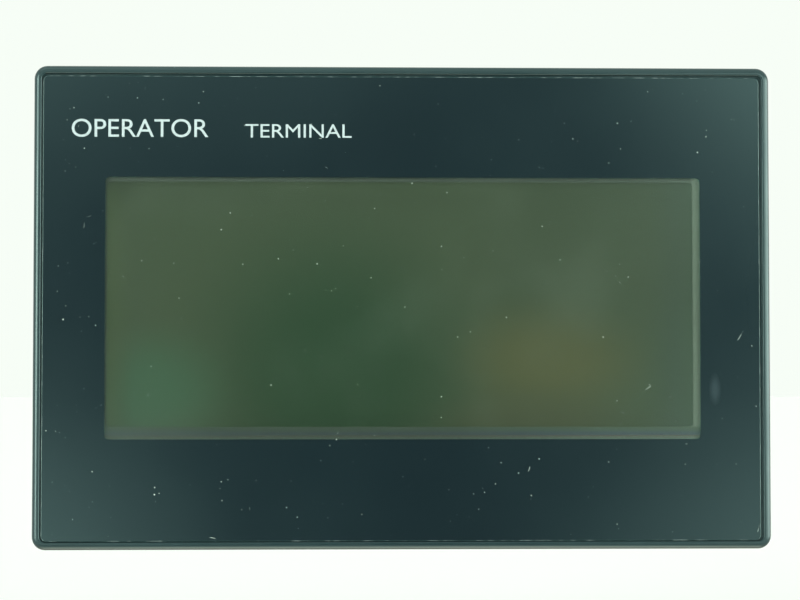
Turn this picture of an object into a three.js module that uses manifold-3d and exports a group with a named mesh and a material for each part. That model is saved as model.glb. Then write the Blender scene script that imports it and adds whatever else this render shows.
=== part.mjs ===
// Operator touch panel: a small flat display that is pushed into a rectangular cut-out in a cabinet
// door and clamped there, with two plug-in screw terminals and a round data socket behind it.
//
// Millimetres. +X is the operator's right, +Z is up and +Y runs back into the cabinet. The origin is
// the centre of the cut-out, on the door's front surface, which the sealing ring touches at Y = 0.
import * as THREE from "three";
import { mergeVertices } from "three/addons/utils/BufferGeometryUtils.js";
import Module from "manifold-3d";

const wasm = await Module();
wasm.setup();

// ---------------------------------------------------------------------------------------------
// Driving dimensions
// ---------------------------------------------------------------------------------------------

// Front frame, which stays outside the door
const FRAME = { width: 113, height: 74, corner: 2, front: -5, back: -0.3, edge: 0.8 };
const SHEET = { width: 110.3, height: 71.3, corner: 0.8, front: -4.9, back: -4.55, gap: 0.15 };
const WINDOW = { width: 91.2, height: 40.1 };
const SEAL = { outer: [110, 71], inner: [106, 67], corner: 1.8, front: -1.85, back: 0, gap: 0.1 };
const SPIGOT = { width: 99.4, height: 60.4, wall: 1.4, back: 4 };

// Rear case, which passes through a 105 x 66 cut-out
const CASE = { width: 104, height: 65, corner: 2, front: -0.25, back: 22, wall: 2, edge: 0.8 };
const SCREW_AT = { x: 46.5, z: 27, shank: 1.4, head: 2.7, seat: 18.6 };
const CLAMP_SLOT = { x: 33, width: 10, front: 5.2, back: 8.4 };

// Layers inside, front to back
const TOUCH = {
  width: 98, height: 46.8, film: [-4.5, -4.35], spacer: [-4.3, -4.2], glass: [-4.15, -3.15],
};
const DISPLAY = { width: 96, height: 46.6, front: -2, back: 4.6, sheet: 0.5 };
const BOARD = { width: 99.2, height: 60.2, front: 7, back: 8.6 };
const SOLDERED = BOARD.back + 0.05; // what stands on the board's rear face starts here

// Plug-in terminals: the plugs slide out downwards and their screws face backwards
const PLUG = { front: 10.6, back: 21.4, bottom: -32, shoulder: -23.9, tip: -17.2, tongueBack: 15.4 };
const HEADER = { back: 16.6, mouth: -23.7, top: -15.2, wall: 1 };
const BAY = { left: -20, right: 40.5, front: 10.3, top: -23.7, lining: 1.6 };
const COMM = { name: "comm", poles: 9, pitch: 3.81, x: 20.6 };
const POWER = { name: "power", poles: 3, pitch: 5.08, x: -10.5 };

// Round data socket, option bay and selector, all reached from below or behind
const SOCKET = { x: -31, y: 14.4, width: 13.6, back: 19.9, radius: 4.75, lip: -32.2 };
const OPTION = { x: -23, z: 12, width: 38, height: 24, opening: [35, 20], thick: 1.55, recess: 20.3 };
const SELECTOR = { x: 32, z: -9, well: [13, 7], floor: 14.4, travel: 2 };
const LABEL = { x: 23, z: 12, width: 42, height: 24, thick: 0.23, recess: 0.3 };

const SLACK = 0.1; // clearance between pieces that slide or drop into each other
const PAST = 1; // how far a cut runs past the face that it opens

// ---------------------------------------------------------------------------------------------
// Finishes
// ---------------------------------------------------------------------------------------------

const FINISHES = {
  frame_plastic: { color: 0x262d2e, roughness: 0.42, metalness: 0 },
  printed_film: { color: 0x1b2a2d, roughness: 0.12, metalness: 0 },
  clear_film: { color: 0xc9d4cf, roughness: 0.1, metalness: 0 },
  glass: { color: 0x9fb0a8, roughness: 0.05, metalness: 0 },
  display_green: { color: 0x4a5a44, roughness: 0.18, metalness: 0 },
  case_plastic: { color: 0x1f2324, roughness: 0.6, metalness: 0 },
  seal_rubber: { color: 0x141515, roughness: 0.85, metalness: 0 },
  board_green: { color: 0x1f5a3a, roughness: 0.5, metalness: 0 },
  chip_black: { color: 0x17181a, roughness: 0.5, metalness: 0 },
  polyimide: { color: 0xb5702a, roughness: 0.4, metalness: 0 },
  steel: { color: 0xb4b8ba, roughness: 0.3, metalness: 1 },
  tin: { color: 0xc3c5c4, roughness: 0.35, metalness: 1 },
  terminal_green: { color: 0x2f8a4a, roughness: 0.45, metalness: 0 },
  switch_white: { color: 0xe4e2da, roughness: 0.45, metalness: 0 },
  label_silver: { color: 0xc7cbcc, roughness: 0.4, metalness: 0.3 },
};

// ---------------------------------------------------------------------------------------------
// Solids
// ---------------------------------------------------------------------------------------------

// A closed three.js geometry as a solid that can be cut and joined.
function solid(geometry) {
  const loose = geometry.index ? geometry.toNonIndexed() : geometry;
  const bare = new THREE.BufferGeometry().setAttribute("position", loose.getAttribute("position"));
  const merged = mergeVertices(bare, 1e-4);
  const mesh = new wasm.Mesh({
    numProp: 3,
    vertProperties: merged.attributes.position.array,
    triVerts: new Uint32Array(merged.index.array),
  });
  return new wasm.Manifold(mesh);
}

// A solid back as a flat-shaded geometry.
function geometryOf(made) {
  const { vertProperties, triVerts } = made.getMesh();
  const indexed = new THREE.BufferGeometry();
  indexed.setAttribute("position", new THREE.BufferAttribute(vertProperties, 3));
  indexed.setIndex(new THREE.BufferAttribute(triVerts, 1));
  const faceted = indexed.toNonIndexed();
  faceted.computeVertexNormals();
  return faceted;
}

const cut = (from, ...tools) => tools.reduce((left, tool) => left.subtract(tool), from);
const join = (first, ...rest) => rest.reduce((whole, next) => whole.add(next), first);

// A box from three spans.
function block([x0, x1], [y0, y1], [z0, z1]) {
  const geometry = new THREE.BoxGeometry(x1 - x0, y1 - y0, z1 - z0);
  return solid(geometry.translate((x0 + x1) / 2, (y0 + y1) / 2, (z0 + z1) / 2));
}

const around = (centre, width) => [centre - width / 2, centre + width / 2];

// A round rod along one axis. "at" holds its place on the other two axes, in X, Y, Z order.
function rod(axis, radius, [from, to], at, sides = 20) {
  const geometry = new THREE.CylinderGeometry(radius, radius, to - from, sides);
  const middle = (from + to) / 2;
  if (axis === "x") return solid(geometry.rotateZ(Math.PI / 2).translate(middle, at[0], at[1]));
  if (axis === "y") return solid(geometry.translate(at[0], middle, at[1]));
  return solid(geometry.rotateX(Math.PI / 2).translate(at[0], at[1], middle));
}

// A rectangle with round corners in X and Z, carried from Y = front to Y = back. A bevel rounds
// both ends.
function slab(width, height, corner, [front, back], { x = 0, z = 0, bevel = 0 } = {}) {
  const [w, h] = [width / 2 - corner, height / 2 - corner];
  const outline = new THREE.Shape();
  outline.absarc(w, h, corner, 0, Math.PI / 2);
  outline.absarc(-w, h, corner, Math.PI / 2, Math.PI);
  outline.absarc(-w, -h, corner, Math.PI, Math.PI * 1.5);
  outline.absarc(w, -h, corner, Math.PI * 1.5, Math.PI * 2);
  outline.closePath();
  const geometry = new THREE.ExtrudeGeometry(outline, {
    depth: back - front - 2 * bevel,
    curveSegments: 2,
    bevelEnabled: bevel > 0,
    bevelThickness: bevel,
    bevelSize: bevel,
    bevelOffset: -bevel,
    bevelSegments: 2,
  });
  return solid(geometry.translate(0, 0, bevel).rotateX(Math.PI / 2).translate(x, back, z));
}

// A flat ring between two such rectangles.
function ring(outer, inner, corner, [front, back]) {
  const hole = slab(inner[0], inner[1], corner, [front - PAST, back + PAST]);
  return slab(outer[0], outer[1], corner, [front, back]).subtract(hole);
}

const group = new THREE.Group();

function add(name, made, finish, parent = group) {
  const mesh = new THREE.Mesh(geometryOf(made), new THREE.MeshStandardMaterial(FINISHES[finish]));
  mesh.name = name;
  parent.add(mesh);
  return mesh;
}

// The four screw places, and a round rod along Y at each of them
const corners = [[-1, 1], [1, 1], [-1, -1], [1, -1]];
const atScrews = (radius, span, sides = 20) => corners.map(([sx, sz]) =>
  rod("y", radius, span, [sx * SCREW_AT.x, sz * SCREW_AT.z], sides));

// ---------------------------------------------------------------------------------------------
// Front frame, printed sheet and sealing ring
// ---------------------------------------------------------------------------------------------

function frontFrame() {
  const behind = FRAME.back + 3;
  const body = slab(FRAME.width, FRAME.height, FRAME.corner, [FRAME.front, behind], { bevel: FRAME.edge });
  const rear = block([-60, 60], [FRAME.back, behind + PAST], [-40, 40]);
  const sheetPocket = slab(SHEET.width + 2 * SHEET.gap, SHEET.height + 2 * SHEET.gap,
    SHEET.corner + SHEET.gap, [FRAME.front - PAST, -4.5]);
  const touchPocket = slab(TOUCH.width + 0.4, TOUCH.height + 0.6, 0.5, [FRAME.front - PAST, -3.1]);
  const opening = slab(WINDOW.width + 1.4, WINDOW.height + 1.5, 0.5, [FRAME.front - PAST, 0]);
  const inside = slab(SPIGOT.width - 2 * SPIGOT.wall, SPIGOT.height - 2 * SPIGOT.wall, 1, [-2.1, 8]);
  const groove = ring(SEAL.outer.map((w) => w + 2 * SEAL.gap), SEAL.inner.map((w) => w - 2 * SEAL.gap),
    SEAL.corner, [SEAL.front - 0.05, PAST]);
  const tailSlot = block([19.5, 30.5], [-4.5, -2], [-25.6, -23]);
  const plate = cut(body, rear, sheetPocket, touchPocket, opening, inside, groove, tailSlot);

  const spigot = slab(SPIGOT.width, SPIGOT.height, 1.6, [FRAME.back - 0.5, SPIGOT.back]).subtract(inside);
  const posts = atScrews(2.6, [-2.6, BOARD.front - 0.05]);
  const pilots = atScrews(1.5, [-0.6, 8], 16);
  add("front_frame", cut(join(plate, spigot, ...posts), ...pilots), "frame_plastic");
}

function printedSheet() {
  const sheet = slab(SHEET.width, SHEET.height, SHEET.corner, [SHEET.front, SHEET.back]);
  add("printed_sheet", sheet, "printed_film");
}

function sealingRing() {
  add("sealing_ring", ring(SEAL.outer, SEAL.inner, SEAL.corner, [SEAL.front, SEAL.back]), "seal_rubber");
}

// ---------------------------------------------------------------------------------------------
// Touch sensor and display module
// ---------------------------------------------------------------------------------------------

// A flexible circuit, as blocks that share their bends.
const ribbon = (across, ...legs) => join(...legs.map(([y, z]) => block(across, y, z)));

function touchSensor() {
  const { width, height } = TOUCH;
  add("touch_film", slab(width, height, 0.5, TOUCH.film), "clear_film");
  const active = block([-45.3, 44.6], [TOUCH.spacer[0] - PAST, TOUCH.spacer[1] + PAST], [-18.3, 19.25]);
  add("touch_spacer", slab(width, height, 0.5, TOUCH.spacer).subtract(active), "clear_film");
  add("touch_glass", slab(width, height, 0.5, TOUCH.glass), "glass");
  const tail = ribbon([20, 30], [[-4.1, -3.9], [-25, -23.55]], [[-4.1, 6.8], [-25.2, -25]],
    [[6.6, 6.8], [-25.2, -18]]);
  add("touch_tail", tail, "polyimide");
}

function displayModule() {
  const { width, height, front, back, sheet } = DISPLAY;
  const shell = slab(width, height, 0.6, [front, back]);
  const hollow = slab(width - 2 * sheet, height - 2 * sheet, 0.3, [front + sheet, back + PAST]);
  const view = slab(92, 41, 0.3, [front - PAST, back]);
  add("display_frame", cut(shell, hollow, view), "steel");

  const [cellWidth, cellHeight] = [width - 1.4, height - 1.4];
  add("display_cell", slab(cellWidth, cellHeight, 0.3, [-1.45, 0.75]), "display_green");
  add("light_guide", block(around(0, cellWidth), [0.85, 3.5], [-18.6, 22.3]), "clear_film");

  const lamps = [-36, -24, -12, 0, 12, 24, 36].map((x) => block(around(x, 3), [1.2, 3], [-21.5, -19.2]));
  add("lamp_bar", join(block([-45, 45], [1, 3.3], [-22.3, -21.3]), ...lamps), "switch_white");

  const drivers = [-30, 0, 30].map((x) => block(around(x, 14), [4.5, 5.8], [-12, -5]));
  const plate = block(around(0, cellWidth), [3.6, 4.6], around(0, cellHeight));
  add("display_board", join(plate, ...drivers), "board_green");

  const flex = ribbon([-12, 12], [[4.65, 4.85], [14, 24.6]], [[4.65, 6.9], [24.4, 24.6]],
    [[6.7, 6.9], [14, 24.6]]);
  add("display_flex", flex, "polyimide");
}

// ---------------------------------------------------------------------------------------------
// Main board
// ---------------------------------------------------------------------------------------------

function mainBoard() {
  const plate = slab(BOARD.width, BOARD.height, 1, [BOARD.front, BOARD.back]);
  const holes = atScrews(1.8, [BOARD.front - PAST, BOARD.back + PAST], 16);
  // Small soldered parts: [x, z, width, height, how far they stand off the rear face]
  const small = [[10, -4, 12, 7, 1.1], [26, 1, 7, 5, 1.3], [38, 2, 5, 5, 1.5], [-2, 22, 6, 4, 1],
    [44, 14, 3, 6, 1.2], [-46, 4, 3.5, 8, 1.4], [-34, -9, 9, 6, 1.6], [20, 26, 8, 3, 0.9],
    [4, 26, 5, 3, 0.9]];
  const chips = small.map(([x, z, width, height, tall]) =>
    block(around(x, width), [BOARD.back - 0.2, BOARD.back + tall], around(z, height)));
  add("main_board", join(cut(plate, ...holes), ...chips), "board_green");

  add("processor_chip", slab(14, 14, 0.4, [SOLDERED, SOLDERED + 1.5], { x: 12, z: 12 }), "chip_black");

  const sounder = rod("y", 6, [SOLDERED, 15], [30, 14], 28);
  add("sounder", cut(sounder, rod("y", 1, [14, 16], [30, 14], 12)), "chip_black");

  add("supply_inductor", slab(8, 8, 1.6, [SOLDERED, 12.8], { x: -6, z: -9 }), "chip_black");
  [-17, -25].forEach((x, i) =>
    add(`supply_capacitor_${i + 1}`, rod("y", 3.15, [SOLDERED, 16.2], [x, -9], 20), "steel"));
}

// ---------------------------------------------------------------------------------------------
// Rear case
// ---------------------------------------------------------------------------------------------

// The sunken mouth of the option bay: where its lid drops in, and the shaft below it.
function optionBay() {
  const { x, z, width, height, opening, recess } = OPTION;
  const ledge = block(around(x, width + 4), [18.4, 20.5], around(z, height + 4));
  const shaft = block(around(x, opening[0] + 2.6), [10.6, 18.6], around(z, opening[1] + 2.6));
  const hollow = block(around(x, opening[0]), [9, 23], around(z, opening[1]));
  const lidSeat = block(around(x, width + 0.4), [recess, 23], around(z, height + 0.4));
  const nailNotch = rod("y", 3.6, [recess, 23], [x, z - height / 2 + 1.6], 24);
  const hinge = lidHinge();
  const pivots = rod("x", 0.65, around(x, width + 2.4), [hinge.y, hinge.z], 16);
  return { add: [ledge, shaft], cut: [hollow, lidSeat, nailNotch, pivots] };
}

const lidHinge = () => ({
  y: OPTION.recess + 0.1 + OPTION.thick / 2,
  z: OPTION.z + OPTION.height / 2 - OPTION.thick / 2,
});

function selectorWell() {
  const { x, z, well, floor } = SELECTOR;
  const lining = block(around(x, well[0] + 2.4), [floor - 1.4, 20.5], around(z, well[1] + 2.4));
  const hollow = block(around(x, well[0]), [floor, 23], around(z, well[1]));
  const slot = block(around(x, 7.8), [floor - 2, floor + 1], around(z, 2.2));
  return { add: [lining], cut: [hollow, slot] };
}

function terminalBay() {
  const { left, right, front, top, lining } = BAY;
  const lined = block([left - lining, right + lining], [front - 1.4, 20.5], [-31, top + 1.8]);
  const hollow = block([left, right], [front, 23], [-34, top]);
  const mouths = [COMM, POWER].map((t) => {
    const width = t.poles * t.pitch + 2 * HEADER.wall + 0.4;
    return block(around(t.x, width), [8, HEADER.back + 0.2], [top - 0.2, top + 3]);
  });
  return { add: [lined], cut: [hollow, ...mouths] };
}

function ventSlots() {
  const span = [11.5, 18.5];
  const top = [-18, -14, -10, -6, -2, 2, 6, 10, 14, 18].map((x) => block(around(x, 1.8), span, [29, 34]));
  const side = [-12, -7.2, -2.4, 2.4, 7.2, 12].map((z) => block([-54, 54], span, around(z, 1.8)));
  return [...top, ...side];
}

function rearCase() {
  const { width, height, corner, front, back, wall, edge } = CASE;
  const outer = slab(width, height, corner, [front - 3, back], { bevel: edge });
  const ahead = block([-60, 60], [front - 5, front], [-40, 40]);
  const inner = slab(width - 2 * wall, height - 2 * wall, 1, [front - PAST, back - wall]);
  const bays = [optionBay(), selectorWell(), terminalBay()];

  const tubes = atScrews(3.6, [BOARD.back + 0.2, 20.5]);
  const bores = atScrews(1.7, [8, 23], 16);
  const sinks = atScrews(3, [SCREW_AT.seat, 23]);

  const clampSlots = [-1, 1].flatMap((sx) => [-1, 1].map((sz) =>
    block(around(sx * CLAMP_SLOT.x, CLAMP_SLOT.width), [CLAMP_SLOT.front, CLAMP_SLOT.back],
      around(sz * 32, 5))));
  const socketHole = rod("z", SOCKET.radius + 0.15, [-34, -30], [SOCKET.x, SOCKET.y], 32);
  const labelRecess = block(around(LABEL.x, LABEL.width + 0.4), [back - LABEL.recess, 23],
    around(LABEL.z, LABEL.height + 0.4));

  const shell = cut(outer, ahead, inner, ...ventSlots());
  const filled = join(shell, ...tubes, ...bays.flatMap((bay) => bay.add));
  const made = cut(filled, ...bays.flatMap((bay) => bay.cut), ...bores, ...sinks, ...clampSlots,
    socketHole, labelRecess);
  add("rear_case", made, "case_plastic");

  const label = block(around(LABEL.x, LABEL.width), [back - 0.28, back - 0.28 + LABEL.thick],
    around(LABEL.z, LABEL.height));
  add("rating_label", label, "label_silver");
}

// Pan-head screw along Y with its head to the rear and a crossed recess.
function caseScrews() {
  const { shank, head, seat } = SCREW_AT;
  const start = seat + 0.05;
  const profile = [[0, 1], [shank - 0.4, 1], [shank, 1.8], [shank, start], [head, start],
    [head, start + 1.2], [head * 0.75, start + 1.8], [0, start + 1.9]];
  const points = profile.map(([r, y]) => new THREE.Vector2(r, y));
  const body = solid(new THREE.LatheGeometry(points, 16));
  const recess = [start + 0.8, 23];
  const [long, narrow] = [around(0, 2.8), around(0, 0.7)];
  const cross = [block(long, recess, narrow), block(narrow, recess, long)];
  const made = cut(body, ...cross);
  corners.forEach(([sx, sz], i) => {
    const mesh = add(`case_screw_${i + 1}`, made, "steel");
    mesh.position.set(sx * SCREW_AT.x, 0, sz * SCREW_AT.z);
    mesh.rotation.y = 0.5 + 0.8 * i;
  });
}

// ---------------------------------------------------------------------------------------------
// Option bay: lid on two pivots, and the connector at the bottom of the bay
// ---------------------------------------------------------------------------------------------

function optionLid() {
  const { x, z, width, height, thick, recess } = OPTION;
  const front = recess + 0.1;
  const hinge = lidHinge();
  const plate = block(around(x, width), [front, front + thick], [z - height / 2, hinge.z]);
  const knuckle = rod("x", thick / 2, around(x, width), [hinge.y, hinge.z], 20);
  const pins = rod("x", 0.55, around(x, width + 1.8), [hinge.y, hinge.z], 16);
  const catchTongue = block(around(x, 8), [17.6, front + 0.2], [2.45, 3.45]);
  const ribs = [-12, 12].map((dx) => block(around(x + dx, 1), [front - 0.8, front + 0.2], [4, 20]));
  add("option_lid", join(plate, knuckle, pins, catchTongue, ...ribs), "case_plastic");
}

function optionConnector() {
  const body = block(around(OPTION.x, 24), [SOLDERED, 13], around(OPTION.z, 5));
  const groove = block(around(OPTION.x, 22), [10, 14], around(OPTION.z, 1.4));
  add("option_connector", cut(body, groove), "switch_white");
}

// ---------------------------------------------------------------------------------------------
// Three-position selector switch
// ---------------------------------------------------------------------------------------------

function selectorSwitch() {
  const { x, z, travel } = SELECTOR;
  const body = block(around(x, 9.6), [SOLDERED, 12.9], around(z, 4.6));
  const track = block(around(x, 2 * travel + 3.6), [11, 14], around(z, 1.9));
  add("selector_body", cut(body, track), "chip_black");
  const foot = block(around(x, 3.2), [11.1, 15.8], around(z, 1.6));
  const grip = block(around(x, 0.6), [15.4, 16], around(z, 2));
  add("selector_slider", cut(foot, grip), "switch_white");
}

// ---------------------------------------------------------------------------------------------
// Round data socket, facing down
// ---------------------------------------------------------------------------------------------

function dataSocket() {
  const { x, y, width, back, radius, lip } = SOCKET;
  const at = [x, y];
  const housing = block(around(x, width), [SOLDERED, back], [-30.3, -18]);
  add("socket_housing", cut(housing, rod("z", radius + 0.1, [-31, -20.5], at, 28)), "chip_black");

  const shield = rod("z", radius, [lip, -20.6], at, 28);
  add("socket_shield", cut(shield, rod("z", radius - 0.4, [lip - PAST, -21.2], at, 28)), "tin");

  const core = rod("z", 3.55, [lip + 0.9, -21.3], at, 24);
  // Two contacts at the front and four behind, with the key slot between the front pair
  const contacts = [[-1.3, -1.7], [1.3, -1.7], [-2.1, 0.4], [2.1, 0.4], [-0.8, 2.1], [0.8, 2.1]];
  const holes = contacts.map(([dx, dy]) => rod("z", 0.42, [lip, -26], [x + dx, y + dy], 8));
  const key = block(around(x, 1.1), [y - 4, y - 2.3], [lip, -26]);
  add("socket_core", cut(core, ...holes, key), "chip_black");
}

// ---------------------------------------------------------------------------------------------
// Plug-in terminals
// ---------------------------------------------------------------------------------------------

const poleX = (t, i) => t.x + (i - (t.poles - 1) / 2) * t.pitch;
const SCREW_Z = -28; // the screws' line, in the plug's thick part
const CAGE = { front: 12.4, height: 4.3, depth: 3.4, roof: 1.1, sill: 0.9 };
const CAGE_RISE = 1.5; // how far a cage climbs as its screw is tightened
const SCREW_SEAT = 18.8; // the ledge that stops a screw's head

function header(t) {
  const inner = t.poles * t.pitch;
  const outer = block(around(t.x, inner + 2 * HEADER.wall), [SOLDERED, HEADER.back],
    [HEADER.mouth, HEADER.top]);
  const hollow = block(around(t.x, inner - 0.4), [PLUG.front - 0.2, PLUG.tongueBack + 0.2],
    [HEADER.mouth - PAST, PLUG.tip + 0.3]);
  add(`${t.name}_header`, cut(outer, hollow), "terminal_green");
}

function plugHousing(t, parent) {
  const inner = t.poles * t.pitch;
  const body = block(around(t.x, inner + 1.4), [PLUG.front, PLUG.back], [PLUG.bottom, PLUG.shoulder]);
  const tongue = block(around(t.x, inner - 0.8), [PLUG.front, PLUG.tongueBack],
    [PLUG.shoulder - PAST, PLUG.tip]);
  const cells = Array.from({ length: t.poles }, (_, i) => {
    const x = poleX(t, i);
    const cageTop = CAGE.front + CAGE.height + CAGE_RISE + SLACK;
    const cage = block(around(x, t.pitch - 0.7), [CAGE.front - SLACK, cageTop],
      around(SCREW_Z, CAGE.depth + 0.2));
    const screwWell = rod("y", t.pitch * 0.4 + 0.1, [SCREW_SEAT - SLACK, PLUG.back + PAST],
      [x, SCREW_Z], 12);
    const shankHole = rod("y", t.pitch * 0.25 + 0.15, [17, PLUG.back], [x, SCREW_Z], 12);
    const wireEntry = block(around(x, t.pitch - 1.5), [13.4, 16.4], [PLUG.bottom - PAST, SCREW_Z]);
    const contactHole = block(around(x, 1.4), [12.2, 13.8], [SCREW_Z, PLUG.tip + PAST]);
    return [cage, screwWell, shankHole, wireEntry, contactHole];
  });
  add(`${t.name}_plug`, cut(join(body, tongue), ...cells.flat()), "terminal_green", parent);
}

// Slotted clamping screw, held in the plug so that it only turns.
function clampScrew(t) {
  const [shank, head] = [t.pitch * 0.25, t.pitch * 0.4];
  const [tip, shoulder, top] = [15.5, SCREW_SEAT, 20.4];
  const profile = [[0, tip], [shank, tip], [shank, shoulder], [head, shoulder], [head, top - 0.2],
    [head - 0.2, top], [0, top]];
  const body = solid(new THREE.LatheGeometry(profile.map(([r, y]) => new THREE.Vector2(r, y)), 12));
  return cut(body, block(around(0, 2 * head + 1), [top - 0.6, top + PAST], around(0, t.pitch * 0.13)));
}

// Square cage that climbs the turning screw and grips the wire from below.
function clampCage(t) {
  const width = t.pitch - 0.9;
  const [bottom, top] = [CAGE.front, CAGE.front + CAGE.height];
  const frame = block(around(0, width), [bottom, top], around(0, CAGE.depth));
  const window = block(around(0, width - 0.8), [bottom + CAGE.sill, top - CAGE.roof],
    around(0, CAGE.depth + 2));
  const thread = rod("y", t.pitch * 0.25 + 0.12, [top - CAGE.roof - 0.5, top + PAST], [0, 0], 12);
  return cut(frame, window, thread);
}

function terminal(t) {
  header(t);
  const plug = new THREE.Group();
  group.add(plug);
  plugHousing(t, plug);
  const [screw, cage] = [clampScrew(t), clampCage(t)];
  for (let i = 0; i < t.poles; i += 1) {
    const screwMesh = add(`${t.name}_screw_${i + 1}`, screw, "steel", plug);
    screwMesh.position.set(poleX(t, i), 0, SCREW_Z);
    screwMesh.rotation.y = 0.35 + i * 1.1;
    const cageMesh = add(`${t.name}_cage_${i + 1}`, cage, "tin", plug);
    cageMesh.position.set(poleX(t, i), 0, SCREW_Z);
  }
}

// ---------------------------------------------------------------------------------------------
// Assembly
// ---------------------------------------------------------------------------------------------

frontFrame();
printedSheet();
sealingRing();
touchSensor();
displayModule();
mainBoard();
rearCase();
caseScrews();
optionLid();
optionConnector();
selectorSwitch();
dataSocket();
terminal(COMM);
terminal(POWER);

export default group;
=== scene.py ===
import math

import bmesh
import bpy
import numpy as np
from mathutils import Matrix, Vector


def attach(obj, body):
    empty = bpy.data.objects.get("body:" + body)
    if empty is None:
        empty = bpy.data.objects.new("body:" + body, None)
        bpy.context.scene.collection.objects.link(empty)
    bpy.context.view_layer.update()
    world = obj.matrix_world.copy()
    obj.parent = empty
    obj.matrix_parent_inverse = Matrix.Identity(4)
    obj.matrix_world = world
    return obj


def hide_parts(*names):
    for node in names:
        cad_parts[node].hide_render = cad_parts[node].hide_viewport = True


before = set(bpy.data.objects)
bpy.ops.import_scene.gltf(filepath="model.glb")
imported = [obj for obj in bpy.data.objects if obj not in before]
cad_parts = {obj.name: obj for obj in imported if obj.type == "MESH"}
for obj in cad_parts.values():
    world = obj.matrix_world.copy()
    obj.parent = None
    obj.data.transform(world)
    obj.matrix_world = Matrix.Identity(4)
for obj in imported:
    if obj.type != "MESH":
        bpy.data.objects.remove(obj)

# An operator touch panel for a cabinet door: glossy printed face in a thin moulded frame, display behind
# it, and a moulded case with plug-in terminals at the back. Metres; X right, Z up, Y into the cabinet.
scene = bpy.context.scene
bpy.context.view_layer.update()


# ---- Camera -----------------------------------------------------------------------------------------
# Nearly square on to the face from 0.3 m, a touch low and to the left of its middle.

aim = Vector((-0.0005, -0.005, 0.0011))
turn, lift = math.radians(1.51), math.radians(1.95)
sight = Vector((math.sin(turn) * math.cos(lift), math.cos(turn) * math.cos(lift), math.sin(lift)))
camera = bpy.data.objects.new("camera", bpy.data.cameras.new("camera"))
camera.data.lens = 88.2
camera.location = aim - 0.3 * sight
camera.rotation_euler = sight.to_track_quat("-Z", "Y").to_euler()
scene.collection.objects.link(camera)
scene.camera = camera


# ---- Studio -----------------------------------------------------------------------------------------
# A white room on a white floor, dim straight behind the camera. The glossy face mirrors five soft panels
# round that; bright windows at both sides and a warm glow from below light the rim.

def wire(tree, kind, inputs=None, **settings):
    """Adds one shader node, sets its properties, and links or sets each named or numbered input."""
    made = tree.nodes.new(kind)
    for name, value in settings.items():
        setattr(made, name, value)
    for name, value in (inputs or {}).items():
        if isinstance(value, bpy.types.NodeSocket):
            tree.links.new(value, made.inputs[name])
        else:
            made.inputs[name].default_value = value
    return made


def calculate(tree, operation, *terms, clamp=False):
    """The result of one Math node over sockets or plain numbers."""
    made = wire(tree, "ShaderNodeMath", dict(enumerate(terms)), operation=operation, use_clamp=clamp)
    return made.outputs[0]


def ramp_between(tree, value, low, high, to_low=0.0, to_high=1.0):
    """value carried smoothly from low..high to to_low..to_high, and held there outside."""
    inputs = {"Value": value, "From Min": low, "From Max": high, "To Min": to_low, "To Max": to_high}
    return wire(tree, "ShaderNodeMapRange", inputs, interpolation_type="SMOOTHSTEP").outputs[0]


room = bpy.data.worlds.new("white_room")
room.use_nodes = True
scene.world = room
scene.view_settings.view_transform = "Standard"
tree = room.node_tree
outward = wire(tree, "ShaderNodeTexCoord").outputs["Generated"]


def glow(across, up, inner, outer, strength):
    """Soft round light in the room: full within inner degrees of a direction, nothing past outer."""
    a, e = math.radians(across), math.radians(up)
    toward = (math.sin(a) * math.cos(e), -math.cos(a) * math.cos(e), math.sin(e))
    dot = wire(tree, "ShaderNodeVectorMath", {0: outward, 1: toward}, operation="DOT_PRODUCT")
    rim, core = math.cos(math.radians(outer)), math.cos(math.radians(inner))
    return ramp_between(tree, dot.outputs["Value"], rim, core, 0.0, strength)


soft_lights = [    # degrees across and up, inner and outer radius in degrees, strength
    (16, 12, 2, 9.5, 3.0),     # soft panels round the dim middle
    (-12, -8, 1, 8.5, 2.8),
    (15, -8, 1, 9, 2.2),
    (-13, 12, 1, 8.5, 1.4),
    (-3, 16, 2, 10, 1.0),
    (31, 3, 3, 15, 4.2),       # windows at the right
    (60, 3, 8, 24, 6.0),
    (88, 3, 8, 20, 4.5),
    (-42, 3, 7, 18, 9.0),      # window at the left
    (0, -75, 8, 32, 3.0),      # glow from below
]
light = calculate(tree, "ADD", 1.0, glow(0, 0, 10, 38, -0.95))
for across, up, inner, outer, strength in soft_lights:
    light = calculate(tree, "ADD", light, glow(across, up, inner, outer, strength))
background = tree.nodes["Background"]
height = wire(tree, "ShaderNodeSeparateXYZ", {0: outward}).outputs[2]
tint = wire(tree, "ShaderNodeMix", {0: ramp_between(tree, height, -0.9, -0.35), 6: (1.0, 0.9, 0.74, 1),
                                    7: (0.93, 0.99, 0.925, 1)}, data_type="RGBA").outputs[2]
tree.links.new(tint, background.inputs["Color"])
tree.links.new(light, background.inputs["Strength"])

floor_mesh = bpy.data.meshes.new("studio_floor")
reach, level = 3.0, -0.06
floor_corners = [(-reach, -reach, level), (reach, -reach, level), (reach, reach, level),
                 (-reach, reach, level)]
floor_mesh.from_pydata(floor_corners, [], [(0, 1, 2, 3)])
floor = bpy.data.objects.new("studio_floor", floor_mesh)
scene.collection.objects.link(floor)
floor_paint = bpy.data.materials.new("studio_floor")
floor_paint.use_nodes = True
floor_paint.node_tree.nodes["Principled BSDF"].inputs["Base Color"].default_value = (0.92, 0.945, 0.92, 1)
floor_paint.node_tree.nodes["Principled BSDF"].inputs["Roughness"].default_value = 0.9
floor_mesh.materials.append(floor_paint)
floor.visible_glossy = False

lamp = bpy.data.objects.new("soft_key", bpy.data.lights.new("soft_key", "AREA"))
lamp.data.energy = 0.5
lamp.data.size = 0.5
lamp.location = (-0.35, -0.45, 0.75)
lamp.rotation_euler = (Vector((0, 0, 0)) - lamp.location).to_track_quat("-Z", "Y").to_euler()
scene.collection.objects.link(lamp)


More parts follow.
